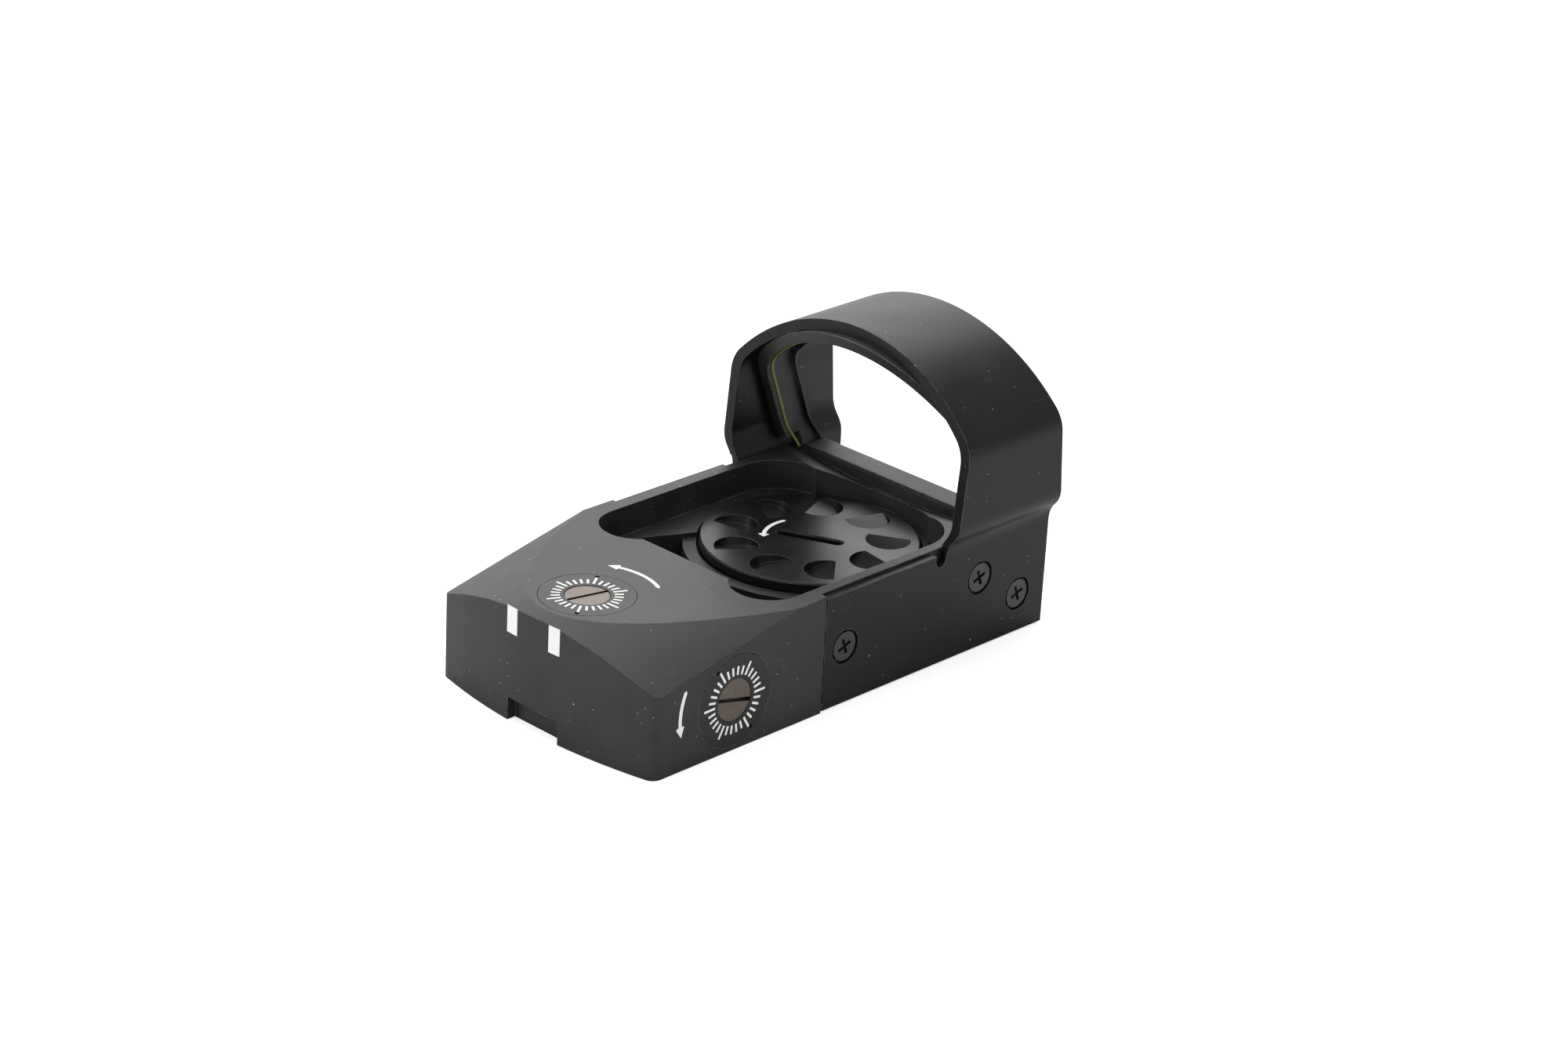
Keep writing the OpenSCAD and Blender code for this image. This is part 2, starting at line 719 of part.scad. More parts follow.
module lens_blank() {
    intersection() {
        carry_y(rear, front) glass_outline(frame_lip - lens_cover + seat_gap, lens_foot_gap);
        lens_slab(-lens_t / 2, lens_t / 2, lens_sill_z, hood_top);
    }
}

module lens_rear_element() {
    color([0.75, 0.85, 0.8, 0.35]) intersection() {
        lens_blank();
        cemented_ball();
    }
}

module lens_front_element() {
    color([0.75, 0.8, 0.9, 0.35]) difference() {
        lens_blank();
        cemented_ball();
    }
}

// Bead of adhesive round the front edge of the glass
module lens_bond() {
    color([0.08, 0.08, 0.08]) intersection() {
        carry_y(rear, front) difference() {
            glass_outline(frame_lip - lens_cover);
            translate([0, -eps]) glass_outline(frame_lip + 0.1);
        }
        lens_slab(lens_t / 2, lens_t / 2 + 0.2, lens_sill_z, hood_top);
    }
}

// ---- Battery ----

// Stadium outline centred on the origin
module stadium(l, w) {
    square([l - w, w], center = true);
    for (s = [-1, 1]) translate([s * (l - w) / 2, 0]) circle(w / 2, $fn = 32);
}

module battery_cap() {
    color([0.1, 0.1, 0.1]) translate([0, cap_line, 0]) difference() {
        union() {
            translate([0, 0, cap_under]) cylinder(r = cap_r, h = cap_flange_t - 0.15, $fn = 144);
            translate([0, 0, cap_top - 0.15]) cylinder(r1 = cap_r, r2 = cap_r - 0.15, h = 0.15, $fn = 144);
            translate([0, 0, cap_under - skirt_h]) cylinder(r = bore_r - 0.08, h = skirt_h + eps, $fn = 144);
        }
        translate([0, 0, cap_under - skirt_h - 1])
            cylinder(r = bore_r - 0.08 - skirt_t, h = skirt_h + 1, $fn = 144);
        // groove for the o-ring
        translate([0, 0, cap_under - 0.62]) difference() {
            cylinder(r = cap_r + 1, h = 0.62);
            translate([0, 0, -1]) cylinder(r = bore_r - 0.45, h = 3, $fn = 144);
        }
        rotate([0, 0, slot_angle]) {
            translate([0, 0, cap_top - slot_depth]) linear_extrude(2) stadium(slot_l, slot_w);
            translate([0, 0, cap_top - slot_bevel]) linear_extrude(2) stadium(slot_l + slot_bevel, slot_w + slot_bevel);
        }
        for (i = [0:scallops - 1]) rotate([0, 0, slot_angle + first_scallop + i * 360 / scallops]) scallop();
    }
}

// A flat cutter plunged at a slant: steep round wall on one side, ramp on the other
module scallop() {
    translate([scallop_place, 0, cap_top - scallop_depth]) rotate([scallop_tilt, 0, 0])
        translate([0, scallop_r, 0]) cylinder(r = scallop_r, h = 4, $fn = 64);
}

module cap_o_ring() {
    color([0.05, 0.05, 0.05]) translate([0, cap_line, cap_under - 0.3]) ring(bore_r - 0.21, 0.2);
}

// Wavy leaf under the cap: a thin washer with three raised tongues
module cap_contact_spring() {
    color([0.75, 0.7, 0.5]) translate([0, cap_line, 0]) {
        difference() {
            translate([0, 0, cap_under - 0.25]) cylinder(r = 6.2, h = 0.2);
            translate([0, 0, cap_under - 1]) cylinder(r = 4.6, h = 2);
        }
        for (a = [0:120:240]) rotate([0, 0, a]) translate([5.4, 0, cell_top + 0.02])
            cylinder(r = 0.6, h = cap_under - 0.25 - cell_top);
    }
}

module coin_cell() {
    color([0.78, 0.78, 0.76]) translate([0, cap_line, 0]) {
        translate([0, 0, cell_z + 0.35]) cylinder(r = cell_r, h = cell_t - 0.35, $fn = 96);
        translate([0, 0, cell_z]) cylinder(r = cell_r - 0.9, h = 0.4, $fn = 96);
    }
}

// Insulating cup: a floor under the cell and a low wall inside the bore
module battery_cup() {
    color([0.15, 0.15, 0.16]) translate([0, cap_line, web_z]) difference() {
        cylinder(r = bore_r - seat_gap, h = 0.9, $fn = 96);
        translate([0, 0, cup_t]) cylinder(r = cell_r + 0.1, h = 2, $fn = 96);
        translate([0, 0, -1]) cylinder(r = 2, h = 3);
    }
}

module negative_contact() {
    color([0.8, 0.72, 0.45]) translate([0, cap_line, board_z]) {
        cylinder(r = 1.7, h = 0.2);
        cylinder(r = 0.5, h = cell_z - board_z);
        translate([0, 0, cell_z - board_z - 0.2]) cylinder(r = 1.3, h = 0.2);
    }
}

// ---- Adjusters ----

// Screw with slotted head, click flange, neck and thread; dial face at z = 0
module adjuster_screw(neck_l, thread_l, slot_turn) {
    difference() {
        union() {
            translate([0, 0, -stack_h]) cylinder(r = head_r, h = head_h);
            translate([0, 0, -stack_h - flange_t]) cylinder(r = flange_r, h = flange_t);
            translate([0, 0, -stack_h - flange_t - neck_l]) cylinder(r = neck_r, h = neck_l + eps);
            translate([0, 0, -stack_h - flange_t - neck_l - thread_l]) cylinder(r = thread_r, h = thread_l + eps);
        }
        translate([0, 0, -head_drop]) rotate([0, 0, slot_turn])
            cube([2 * head_r + 1, head_slot_w, 2 * head_slot_depth], center = true);
        for (i = [0:clicks - 1]) rotate([0, 0, i * 360 / clicks])
            translate([flange_r + 0.12, 0, -stack_h - flange_t - eps]) cylinder(r = 0.22, h = flange_t + 2 * eps, $fn = 8);
    }
}

// Ring with the dial scale and two spanner holes
module dial_ring() {
    difference() {
        translate([0, 0, -dial_t]) cylinder(r = dial_r, h = dial_t, $fn = 96);
        translate([0, 0, -dial_t - 1]) cylinder(r = head_r + run_gap + 0.02, h = dial_t + 2);
        for (s = [-1, 1]) rotate([0, 0, 34]) translate([s * (dial_r - 0.42), 0, -0.5]) cylinder(r = 0.2, h = 1, $fn = 16);
    }
}

module click_ball() translate([flange_r + ball_r + run_gap, 0, -stack_h - flange_t / 2]) sphere(ball_r, $fn = 24);

// Spring behind the click ball, as its outer tube
module click_spring() {
    start = flange_r + run_gap + 2 * ball_r + 0.02;
    translate([start, 0, -stack_h - flange_t / 2]) rotate([0, 90, 0]) difference() {
        cylinder(r = ball_r - 0.05, h = flange_r + ball_pocket_l - start, $fn = 24);
        translate([0, 0, -1]) cylinder(r = ball_r - 0.2, h = 5, $fn = 24);
    }
}

module screw_seal() translate([0, 0, -stack_h - flange_t - flange_gap - seal_recess_h / 2]) ring(neck_r + seal_r + 0.02, seal_r);

module elevation_screw() color([0.55, 0.52, 0.5]) at_elevation() adjuster_screw(elev_neck_l, elev_thread_l, elev_slot_turn);
module elevation_dial_ring() color([0.14, 0.14, 0.15]) at_elevation() dial_ring();
module elevation_click_ball() color([0.8, 0.8, 0.8]) at_elevation() click_ball();
module elevation_click_spring() color([0.6, 0.6, 0.62]) at_elevation() click_spring();
module elevation_screw_seal() color([0.05, 0.05, 0.05]) at_elevation() screw_seal();
module windage_screw() color([0.55, 0.52, 0.5]) at_windage() adjuster_screw(wind_neck_l, wind_thread_l, wind_slot_turn);
module windage_dial_ring() color([0.14, 0.14, 0.15]) at_windage() dial_ring();
module windage_click_ball() color([0.8, 0.8, 0.8]) at_windage() click_ball();
module windage_click_spring() color([0.6, 0.6, 0.62]) at_windage() click_spring();
module windage_screw_seal() color([0.05, 0.05, 0.05]) at_windage() screw_seal();

// Nut on the elevation thread: it lifts the carrier's arm
module elevation_nut() {
    color([0.75, 0.65, 0.35]) difference() {
        span([-nut_w / 2, chamber_rear + 0.1, arm_low - 0.05 - nut_t],
            [nut_w / 2, elev_line + 1.4, arm_low - 0.05]);
        translate([0, elev_line, 0]) cylinder(r = thread_r + run_gap, h = big);
    }
}

// Spring that presses the carrier's arm down on the nut, as its outer tube
module elevation_return_spring() {
    low = arm_low + arm_t + 0.02;
    color([0.6, 0.6, 0.62]) translate([0, spring_line, low]) difference() {
        cylinder(r = lift_spring_r, h = spring_top - low, $fn = 24);
        translate([0, 0, -1]) cylinder(r = 0.6, h = 9, $fn = 24);
    }
}

// Slider on the windage thread, with a fork that guides the emitter mast
module windage_slider() {
    color([0.7, 0.6, 0.32]) difference() {
        span([-slider_w / 2, slider_rear, slider_low], [slider_w / 2, slider_front, slider_top]);
        span([-mast_w / 2 - run_gap, slider_mid, 0], [mast_w / 2 + run_gap, slider_front + 1, big]);
        along_x(-half_w, wind_line, wind_z) cylinder(r = thread_r + run_gap, h = body_w);
        along_x(-half_w, guide_y, guide_z) cylinder(r = guide_r + run_gap, h = body_w);
    }
}

module slider_guide_pin() {
    color([0.8, 0.8, 0.8]) along_x(-chamber_w / 2 - 0.85, guide_y, guide_z)
        cylinder(r = guide_r, h = chamber_w + 1.7, $fn = 32);
}

// Spring round the guide pin, as its outer tube
module windage_return_spring() {
    color([0.6, 0.6, 0.62]) along_x(-chamber_w / 2 + 0.02, guide_y, guide_z) difference() {
        cylinder(r = 0.72 + guide_r / 2, h = (chamber_w - slider_w) / 2 - 0.04, $fn = 24);
        translate([0, 0, -1]) cylinder(r = guide_r + 0.1, h = 9, $fn = 24);
    }
}

// Mast that carries the emitter, with the long arm that reaches back to the nut
module emitter_carrier() {
    color([0.22, 0.22, 0.24]) difference() {
        union() {
            span([-mast_w / 2, slider_mid + run_gap, mast_low], [mast_w / 2, slider_front, mast_top]);
            span([-mast_w / 2, slider_mid + run_gap, arm_low], [mast_w / 2, nose_front, mast_top]);
            span([-arm_half_w, chamber_rear + 0.6, arm_low], [arm_half_w, slider_mid + 1, arm_low + arm_t]);
        }
        translate([0, elev_line, 0]) linear_extrude(big) stadium(2 * neck_r + 1.4, 2 * neck_r + 0.3);
    }
}

module led_emitter() {
    color([0.9, 0.85, 0.6]) {
        span([-0.6, nose_front, led_z - 0.5], [0.6, nose_front + 0.25, led_z + 0.5]);
        translate([0, nose_front + 0.25, led_z]) rotate([-90, 0, 0]) cylinder(r = 0.3, h = 0.15, $fn = 24);
    }
}

module emitter_window() {
    color([0.7, 0.8, 0.85, 0.4]) span([-window_w / 2, housing_front - window_t, led_z - window_h / 2],
        [window_w / 2, housing_front, led_z + window_h / 2]);
}

module emitter_flex() {
    color([0.8, 0.5, 0.15]) span([-0.8, slider_front + 0.06, board_z], [0.8, slider_front + 0.14, arm_low - 0.7]);
}

// ---- Electronics ----

module circuit_board() {
    color([0.05, 0.3, 0.12]) translate([0, 0, board_z - board_t]) difference() {
        linear_extrude(board_t) board_plan(0);
        at_cover_screws() translate([0, 0, -1]) cylinder(r = 1, h = 3);
    }
}

module controller_chip() {
    color([0.1, 0.1, 0.1]) translate([-chamber_w / 2 + 0.8, chamber_rear + 0.7, board_z])
        cube([chip_w, chip_w, chip_t]);
}

module board_components() {
    color([0.6, 0.5, 0.35]) {
        for (i = [0:3]) translate([chamber_w / 2 - 3.4, chamber_rear + 0.8 + i * 2.6, board_z]) cube(capacitor);
        for (i = [0:2]) translate([chamber_w / 2 - 1.6, chamber_rear + 1.4 + i * 3, board_z]) cube(resistor);
    }
}

module power_button() {
    color([0.08, 0.08, 0.08]) {
        along_x(-half_w - button_proud, button_line, button_z) {
            cylinder(r1 = button_r - 0.25, r2 = button_r, h = 0.25);
            translate([0, 0, 0.25]) cylinder(r = button_r, h = button_lip + button_proud - 0.25 + 0.06);
        }
        along_x(-half_w + button_lip + 0.05, button_line, button_z) cylinder(r = button_flange_r, h = button_flange_t - 0.05);
    }
}

module switch_plunger() {
    color([0.8, 0.8, 0.75]) along_x(-half_w + button_lip + button_flange_t, button_line, button_z)
        cylinder(r = switch_plunger_r, h = 1.3, $fn = 32);
}

module button_switch() {
    x = -half_w + button_lip + button_flange_t + button_travel + 0.25;
    color([0.3, 0.3, 0.32]) difference() {
        span([x, button_line - switch_w / 2, button_z - switch_w / 2],
            [x + switch_t, button_line + switch_w / 2, button_z + switch_w / 2]);
        along_x(x - 1, button_line, button_z) cylinder(r = switch_plunger_r + run_gap, h = 2.3);
    }
}

module switch_board() {
    x = -half_w + button_lip + button_flange_t + button_travel + 0.25 + switch_t;
    half = switch_room - seat_gap;
    color([0.05, 0.3, 0.12]) span([x, button_line - half, button_z - half],
        [x + switch_board_t, button_line + half, button_z + half]);
}

// ---- Fasteners and covers ----

// Cross-recessed pan-head screw; z = 0 is the side face of the shroud
module shroud_screw() {
    head_z = -shroud_pocket_depth;
    difference() {
        union() {
            translate([0, 0, head_z]) cylinder(r = shroud_head_r, h = shroud_head_t, $fn = 36);
            translate([0, 0, head_z - shroud_thread_l + 0.6]) cylinder(r = shroud_thread_r, h = shroud_thread_l - 0.6 + eps, $fn = 36);
        }
        for (a = [20, 110]) rotate([0, 0, a]) translate([0, 0, head_z + shroud_head_t])
            cube([1.5, 0.32, 0.7], center = true);
    }
}

module shroud_screws_right() color([0.2, 0.2, 0.2]) at_shroud_screws() shroud_screw();
module shroud_screws_left() color([0.2, 0.2, 0.2]) mirror([1, 0, 0]) at_shroud_screws() shroud_screw();

module bottom_cover() {
    color([0.12, 0.12, 0.12]) difference() {
        translate([0, 0, cover_seat - cover_t]) linear_extrude(cover_t - 0.2) cover_plan(0);
        at_cover_screws() {
            translate([0, 0, -1]) cylinder(r = 0.6, h = 3);
            translate([0, 0, cover_seat - cover_t - eps]) cylinder(r1 = 1.05, r2 = 0.55, h = 0.5);
        }
    }
}

module cover_gasket() {
    color([0.05, 0.05, 0.05]) translate([0, 0, cover_seat - 0.2]) difference() {
        linear_extrude(0.2) cover_plan(0);
        translate([0, 0, -1]) linear_extrude(3) board_plan(0.15);
        at_cover_screws() translate([0, 0, -1]) cylinder(r = 0.6, h = 3);
    }
}

module cover_screw() {
    difference() {
        union() {
            translate([0, 0, cover_seat - cover_t + 0.02]) cylinder(r1 = 1, r2 = 0.5, h = 0.48, $fn = 32);
            translate([0, 0, 0.2]) cylinder(r = 0.5, h = 2.3, $fn = 32);
        }
        for (a = [0, 90]) rotate([0, 0, a]) cube([1.1, 0.25, 0.5], center = true);
    }
}

module cover_screws() color([0.2, 0.2, 0.2]) at_cover_screws() cover_screw();

base_body();
hood_shroud();
lens_rear_element();
lens_front_element();
lens_bond();
battery_cap();
cap_o_ring();
cap_contact_spring();
coin_cell();
battery_cup();
negative_contact();
elevation_screw();
elevation_dial_ring();
elevation_click_ball();
elevation_click_spring();
elevation_screw_seal();
elevation_nut();
elevation_return_spring();
windage_screw();
windage_dial_ring();
windage_click_ball();
windage_click_spring();
windage_screw_seal();
windage_slider();
slider_guide_pin();
windage_return_spring();
emitter_carrier();
led_emitter();
emitter_window();
emitter_flex();
circuit_board();
controller_chip();
board_components();
power_button();
switch_plunger();
button_switch();
switch_board();
shroud_screws_right();
shroud_screws_left();
bottom_cover();
cover_gasket();
cover_screws();
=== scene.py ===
"""Looks for a miniature open reflex sight: finishes, paint marks, screw heads, dials and studio."""
import json
import math

import bmesh
import bpy
import numpy as np
from mathutils import Matrix, Vector


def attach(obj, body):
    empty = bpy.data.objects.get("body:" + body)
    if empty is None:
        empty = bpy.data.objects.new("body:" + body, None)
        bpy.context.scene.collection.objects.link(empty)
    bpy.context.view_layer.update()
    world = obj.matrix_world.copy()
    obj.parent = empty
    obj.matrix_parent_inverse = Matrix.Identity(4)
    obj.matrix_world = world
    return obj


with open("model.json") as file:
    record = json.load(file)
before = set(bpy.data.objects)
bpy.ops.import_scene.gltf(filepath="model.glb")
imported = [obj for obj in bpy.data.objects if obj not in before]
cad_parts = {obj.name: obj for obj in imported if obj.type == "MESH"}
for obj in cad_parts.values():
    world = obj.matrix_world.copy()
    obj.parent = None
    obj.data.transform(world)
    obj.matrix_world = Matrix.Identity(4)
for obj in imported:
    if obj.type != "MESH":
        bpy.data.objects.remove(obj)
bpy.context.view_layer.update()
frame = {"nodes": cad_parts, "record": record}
NODES = frame["nodes"]
MM = 0.001

# Places and sizes of the sight, in millimetres, in the frame of the solids
REAR = -24.15
HALF_W = 12.75
DECK_Z = 10.6
REAR_FACE_R = 53.2
ELEVATION = (0.0, REAR + 5.8)
WINDAGE = (REAR + 10.35, 4.5)
CAP_LINE = REAR + 31.9
CAP_TOP = 8.3

# Paint marks: each film stands PAINT proud of its surface and starts PAINT_SINK under it
PAINT = 0.015
PAINT_SINK = 0.004
PAINT_STEPS = 33
TICKS = 30
TICK_INNER = 2.22
TICK_SHORT = 2.98
TICK_LONG = 3.42
TICK_W = 0.2
ARROW_W = 0.34
ARROW_HEAD_L = 1.0
ARROW_HEAD_W = 0.95
ARROW_BAR_SHARE = 0.6
BAR_W = 1.25
BAR_LOW = 7.9
BAR_HIGH = 10.28
BARS = {"rear_bar_left": -3.25, "rear_bar_right": 1.75}

# Glass: foot, rear face and tilt in degrees, the flare of its sides, its arch, and the bevel line on it
GLASS_FOOT = 10.6
GLASS_REAR_Y = 17.7
GLASS_TILT = 20.8
FLARE_X = (10.9, 12.0)
FLARE_Z = (9.9, 13.1)
ARCH_R = 15.85
ARCH_Z = 8.65
SHOULDER_R = 3.0
BEVEL_STEPS = 13
BEVEL_END = 52
BEVEL_W = 0.07
BEVEL_BACK = (0.02, 0.3)

# Studio: the camera in millimetres and degrees, and the floor sheet
VIEW_PLACE = (203.98, -212.56, 141.75)
VIEW_AIM = (-8.752, 13.724, 5.0)
VIEW_ROLL = 3.097
VIEW_LENS = 87.943
FLOOR_HALF = 3000.0
FLOOR_Z = -0.02


# ---------------------------------------------------------------- shader maths
class Flow:
    """One socket of a node tree; + - * / and < with it add Math nodes."""

    def __init__(self, tree, socket):
        self.tree = tree
        self.socket = socket

    def _math(self, operation, *values):
        made = self.tree.add("ShaderNodeMath", {"operation": operation}, dict(enumerate(values)))
        return Flow(self.tree, made.outputs[0])

    def __add__(self, other):
        return self._math("ADD", self, other)

    def __sub__(self, other):
        return self._math("SUBTRACT", self, other)

    def __rsub__(self, other):
        return self._math("SUBTRACT", other, self)

    def __mul__(self, other):
        return self._math("MULTIPLY", self, other)

    def __truediv__(self, other):
        return self._math("DIVIDE", self, other)

    def __lt__(self, other):
        return self._math("LESS_THAN", self, other)

    def most(self, other):
        """The larger of the two."""
        return self._math("MAXIMUM", self, other)

    def clip(self):
        """The value held between 0 and 1."""
        return self._math("MINIMUM", self._math("MAXIMUM", self, 0.0), 1.0)

    def ramp(self, low, high):
        """0 below low, 1 above high, straight between them."""
        return ((self - low) / (high - low)).clip()


class Nodes:
    """A node tree, with short ways to add nodes and fill their sockets."""

    def __init__(self, tree):
        self.tree = tree

    def add(self, kind, settings=None, sockets=None):
        """A node of that kind: its settings first, then the values or links of its sockets."""
        made = self.tree.nodes.new(kind)
        for key, value in (settings or {}).items():
            setattr(made, key, value)
        for key, value in (sockets or {}).items():
            self.plug(made.inputs[key], value)
        return made

    def plug(self, socket, value):
        """Links a socket or a Flow, or sets a constant; three numbers are a colour."""
        if isinstance(value, Flow):
            self.tree.links.new(value.socket, socket)
        elif isinstance(value, bpy.types.NodeSocket):
            self.tree.links.new(value, socket)
        elif socket.type == "RGBA" and len(value) == 3:
            socket.default_value = (*value, 1.0)
        else:
            socket.default_value = value


class Finish(Nodes):
    """A material's node tree, with its Principled shader."""

    def __init__(self, name, **constants):
        self.material = bpy.data.materials.new(name)
        self.material.use_nodes = True
        super().__init__(self.material.node_tree)
        self.shader = self.tree.nodes["Principled BSDF"]
        self.set(**constants)

    def set(self, **constants):
        """Sets the shader's sockets; base_color stands for Base Color and so on."""
        for key, value in constants.items():
            words = " ".join(word.capitalize() for word in key.split("_")).replace("Ior", "IOR")
            self.plug(self.shader.inputs[words], value)

    def place(self):
        """Object coordinates."""
        return self.add("ShaderNodeTexCoord").outputs["Object"]

    def noise(self, per_mm, detail=3.0, stretch=(1.0, 1.0, 1.0)):
        """Noise with about per_mm cells in a millimetre, squeezed along each axis by stretch."""
        mapped = self.add("ShaderNodeMapping", {}, {"Vector": self.place(), "Scale": stretch})
        made = self.add("ShaderNodeTexNoise", {}, {
            "Vector": mapped.outputs[0], "Scale": per_mm / MM, "Detail": detail})
        return Flow(self, made.outputs["Fac"])

    def cells(self, per_mm):
        """Distance to the nearest of scattered points, in cells."""
        made = self.add("ShaderNodeTexVoronoi", {}, {"Vector": self.place(), "Scale": per_mm / MM})
        return Flow(self, made.outputs["Distance"])

    def edges(self, radius_mm):
        """1 on edges narrower than the radius, 0 on open faces; and the rounded normal."""
        bevel = self.add("ShaderNodeBevel", {"samples": 6}, {"Radius": radius_mm * MM})
        flat = self.add("ShaderNodeNewGeometry")
        dot = self.add("ShaderNodeVectorMath", {"operation": "DOT_PRODUCT"}, {
            0: bevel.outputs[0], 1: flat.outputs["Normal"]})
        return 1.0 - Flow(self, dot.outputs["Value"]), bevel.outputs[0]

    def mix(self, factor, low, high):
        """Colour between low and high."""
        made = self.add("ShaderNodeMix", {"data_type": "RGBA"}, {0: factor, 6: low, 7: high})
        return made.outputs[2]

    def bump(self, height, distance_mm, normal=None):
        """Normal tilted by a height, given in units of distance_mm."""
        sockets = {"Height": height, "Distance": distance_mm * MM, "Strength": 1.0}
        if normal is not None:
            sockets["Normal"] = normal
        made = self.add("ShaderNodeBump", {}, sockets)
        self.plug(self.shader.inputs["Normal"], made.outputs[0])


# ---------------------------------------------------------------- finishes
def anodised(name, tone, rough, edge_wear_and_highlight=0.5, dust=0.6, grain=0.004, gloss=0.42):
    """Blasted and hard-anodised aluminium: fine grain, faint cloudiness, specks of dust, and edges lightened in
    colour, partly bared by use and partly as painted highlight.
    """
    finish = Finish(name, metallic=0.0, specular_ior_level=gloss)
    cloud = finish.noise(0.22, detail=4.0)
    fine = finish.noise(14.0, detail=2.0)
    edge, rounded = finish.edges(0.1)
    patches = finish.noise(0.8, detail=6.0).ramp(0.4, 0.6)
    # Edge mask: lightens the edges in colour, partly as bare metal from use and partly as painted highlight where
    # edges catch the light.
    bared_and_highlit_edges = (edge * 9.0).clip() * (patches * 0.8 + 0.2) * edge_wear_and_highlight
    specks = ((finish.cells(0.9) < 0.05) + (finish.cells(0.31) < 0.026)).clip() * dust
    scratch = finish.noise(2.2, detail=2.0, stretch=(1.0, 0.12, 1.0)).ramp(0.68, 0.74) * 0.03
    dark = tuple(0.7 * part for part in tone)
    light = tuple(1.35 * part for part in tone)
    base = finish.mix((cloud * 0.75 + fine * 0.25).ramp(0.3, 0.7), dark, light)
    # Light grey on the edges and scratches: partly bare metal, partly painted highlight.
    bared_and_highlit_colour = finish.mix((bared_and_highlit_edges + scratch).clip(), base, (0.5, 0.5, 0.51))
    finish.set(base_color=finish.mix(specks, bared_and_highlit_colour, (0.66, 0.65, 0.64)))
    finish.set(roughness=(cloud * 0.16 + fine * 0.1 - bared_and_highlit_edges * 0.2 + (rough - 0.13)).clip())
    finish.bump(fine * 0.7 + finish.noise(5.0) * 0.3, grain, normal=rounded)
    return finish.material


def gloss_black(name):
    """Smooth satin-black cap: soft sheen, hairlines, a little grime and dust, and edges lightened in colour,
    partly bared by use and partly as painted highlight.
    """
    finish = Finish(name, metallic=0.0, specular_ior_level=0.55)
    cloud = finish.noise(0.35, detail=5.0)
    fine = finish.noise(9.0, detail=2.0)
    edge, rounded = finish.edges(0.07)
    # Edge mask: lightens the cap's edges, partly as bare spots from use and partly as painted highlight on the
    # scallop edges.
    bared_and_highlit_edges = (edge * 9.0).clip() * (finish.noise(1.1, detail=4.0).ramp(0.42, 0.6) * 0.3 + 0.06)
    specks = (finish.cells(0.9) < 0.04) * 0.5
    base = finish.mix(cloud, (0.006, 0.006, 0.006), (0.012, 0.0115, 0.01))
    bared_and_highlit_colour = finish.mix(bared_and_highlit_edges, base, (0.35, 0.35, 0.35))
    finish.set(base_color=finish.mix(specks, bared_and_highlit_colour, (0.6, 0.6, 0.58)))
    finish.set(roughness=(cloud * 0.14 + fine * 0.05 + 0.2).clip())
    finish.bump(fine, 0.0015, normal=rounded)
    return finish.material


def turned_metal(name, tone, rough, metallic=0.9):
    """Machined metal: streaks of tool marks, uneven tarnish, bright edges."""
    finish = Finish(name, specular_ior_level=0.5)
    cloud = finish.noise(0.9, detail=5.0)
    streak = finish.noise(6.0)
    edge, rounded = finish.edges(0.06)
    dark = tuple(0.62 * part for part in tone)
    base = finish.mix((cloud * 0.6 + streak * 0.4).ramp(0.3, 0.7), dark, tone)
    bright = tuple(min(1.0, 1.35 * part + 0.08) for part in tone)
    finish.set(base_color=finish.mix((edge * 5.0).clip() * 0.6, base, bright))
    finish.set(metallic=(cloud * 0.1 + (metallic - 0.05)).clip())
    finish.set(roughness=(streak * 0.2 + cloud * 0.12 + (rough - 0.16)).clip())
    finish.bump(streak, 0.003, normal=rounded)
    return finish.material


def moulded(name, tone, rough=0.55, grain=0.003):
    """Moulded plastic or rubber with a fine even skin."""
    finish = Finish(name, metallic=0.0, specular_ior_level=0.4)
    cloud = finish.noise(0.5, detail=3.0)
    fine = finish.noise(11.0, detail=2.0)
    edge, rounded = finish.edges(0.08)
    low = tuple(0.85 * part for part in tone)
    high = tuple(min(1.0, 1.15 * part) for part in tone)
    finish.set(base_color=finish.mix((cloud + edge).clip(), low, high))
    finish.set(roughness=(cloud * 0.12 + fine * 0.06 + (rough - 0.09)).clip())
    finish.bump(fine, grain, normal=rounded)
    return finish.material


def paint(name):
    """White filled marking paint: slightly uneven, chipped at a few spots, and glowing a little with its own
    colour, a painted brightness that no lamp gives.
    """
    # Emission makes the marks glow a little: painted brightness, not given by any lamp.
    finish = Finish(name, metallic=0.0, specular_ior_level=0.35, emission_strength=0.3)
    cloud = finish.noise(2.5, detail=3.0)
    chip = finish.noise(4.0, detail=4.0).ramp(0.7, 0.76)
    base = finish.mix(cloud, (0.83, 0.83, 0.81), (0.92, 0.92, 0.9))
    glowing_tone = finish.mix(chip * 0.5, base, (0.3, 0.3, 0.3))
    finish.set(base_color=glowing_tone, emission_color=glowing_tone)
    finish.set(roughness=(cloud * 0.15 + 0.45).clip())
    finish.bump(cloud, 0.003)
    return finish.material


def lens_glass(name, tint):
    """Clear optical glass whose coating tints it a little."""
    finish = Finish(name, metallic=0.0, alpha=0.014, ior=1.5, specular_ior_level=1.0)
    cloud = finish.noise(0.08, detail=1.0)
    finish.set(base_color=finish.mix(cloud, tint, (0.5, 0.5, 0.5)))
    finish.set(roughness=(cloud * 0.02 + 0.01).clip())
    return finish.material


